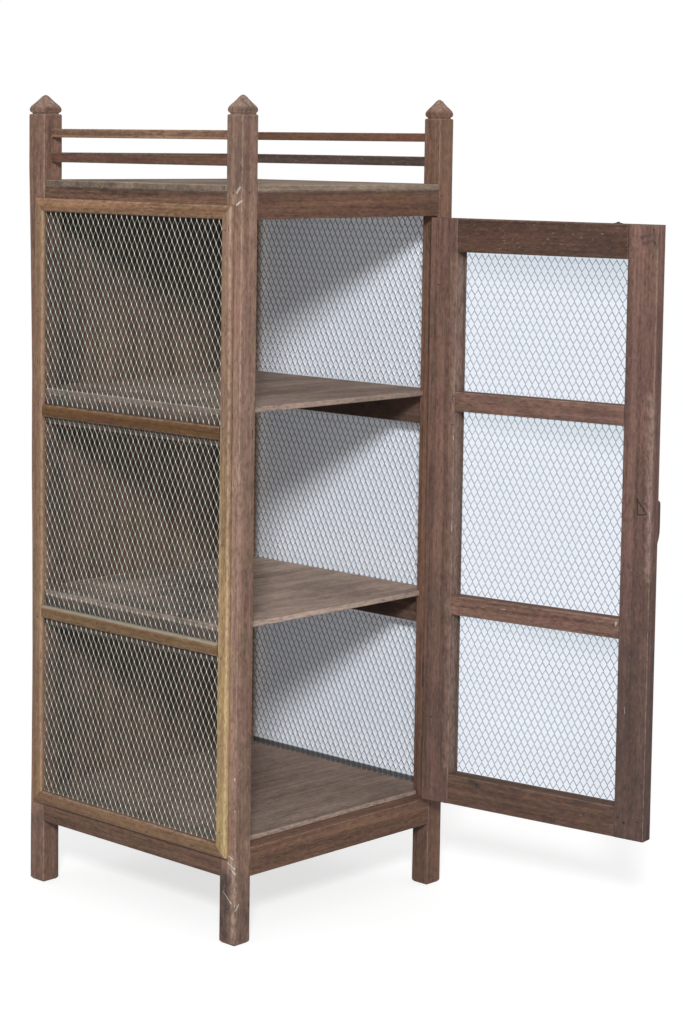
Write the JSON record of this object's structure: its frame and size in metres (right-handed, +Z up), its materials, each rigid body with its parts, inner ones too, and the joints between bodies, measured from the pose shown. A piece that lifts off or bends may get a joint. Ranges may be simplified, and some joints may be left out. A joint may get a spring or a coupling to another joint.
{
  "type": "pie_safe",
  "caption": "Tall weathered wooden pie safe with mesh sides, an open mesh door, inner shelves, tall posts with carved finials and an open rail gallery on top",
  "frame": {"origin": "centre of the front-left foot's underside, on the floor", "axes": "+X to the right along the front, +Y to the back, +Z up; the front faces -Y"},
  "size_m": [0.6113, 1.0372, 1.503],
  "materials": {
    "post_wood": "weathered, unvarnished",
    "rail_wood": "weathered, unvarnished",
    "moulding_wood": "planed, dry",
    "board_wood": "worn, dusty",
    "back_wood": "rough sawn",
    "door_wood": "weathered, worn at the grip",
    "zinced_wire": "dull zinc, lightly corroded",
    "iron": "aged, dull"
  },
  "bodies": {
    "cabinet": {"post_front_left": "post_wood", "post_front_right": "post_wood", "post_back_left": "post_wood", "post_back_right": "post_wood", "header_front": "rail_wood", "bottom_rail_front": "rail_wood", "top_rail_back": "rail_wood", "bottom_rail_back": "rail_wood", "bottom_rail_left": "rail_wood", "top_rail_left": "rail_wood", "bearer_lower_left": "rail_wood", "bearer_upper_left": "rail_wood", "bottom_rail_right": "rail_wood", "top_rail_right": "rail_wood", "bearer_lower_right": "rail_wood", "bearer_upper_right": "rail_wood", "gallery_left_lower": "rail_wood", "gallery_right_lower": "rail_wood", "gallery_back_lower": "rail_wood", "gallery_left_upper": "rail_wood", "gallery_right_upper": "rail_wood", "gallery_back_upper": "rail_wood", "floor_board": "board_wood", "shelf_lower": "board_wood", "shelf_upper": "board_wood", "top_board_front": "board_wood", "top_board_back": "board_wood", "back_board_left": "back_wood", "back_board_right": "back_wood", "mesh_left": "zinced_wire", "mesh_right": "zinced_wire", "moulding_left_top": "moulding_wood", "moulding_left_bottom": "moulding_wood", "moulding_left_front": "moulding_wood", "moulding_left_back": "moulding_wood", "moulding_left_cross_lower": "moulding_wood", "moulding_left_cross_upper": "moulding_wood", "moulding_right_top": "moulding_wood", "moulding_right_bottom": "moulding_wood", "moulding_right_front": "moulding_wood", "moulding_right_back": "moulding_wood", "moulding_right_cross_lower": "moulding_wood", "moulding_right_cross_upper": "moulding_wood", "hinge_lower_frame_leaf": "iron", "hinge_lower_pin": "iron", "hinge_upper_frame_leaf": "iron", "hinge_upper_pin": "iron"},
    "door": {"door_top_rail": "door_wood", "door_bottom_rail": "door_wood", "door_bar_lower": "door_wood", "door_bar_upper": "door_wood", "door_hinge_stile": "door_wood", "door_lock_stile": "door_wood", "door_handle": "door_wood", "door_mesh": "zinced_wire", "door_moulding": "moulding_wood", "catch_barrel": "iron", "hinge_lower_door_leaf": "iron", "hinge_upper_door_leaf": "iron"},
    "catch_ball": {"catch_ball": "iron"}
  },
  "joints": [
    {"name": "door_hinge", "type": "hinge", "parent": "cabinet", "child": "door", "pos_m": [0.5, -0.0235, 0.7], "axis": [0, 0, 1], "range_deg": [-98, 72]},
    {"name": "catch_slide", "type": "slide", "parent": "door", "child": "catch_ball", "axis": [0, 0, -1], "range_m": [0, 0.0035], "stiffness_N_per_m": 300, "springref_m": -0.002}
  ]
}
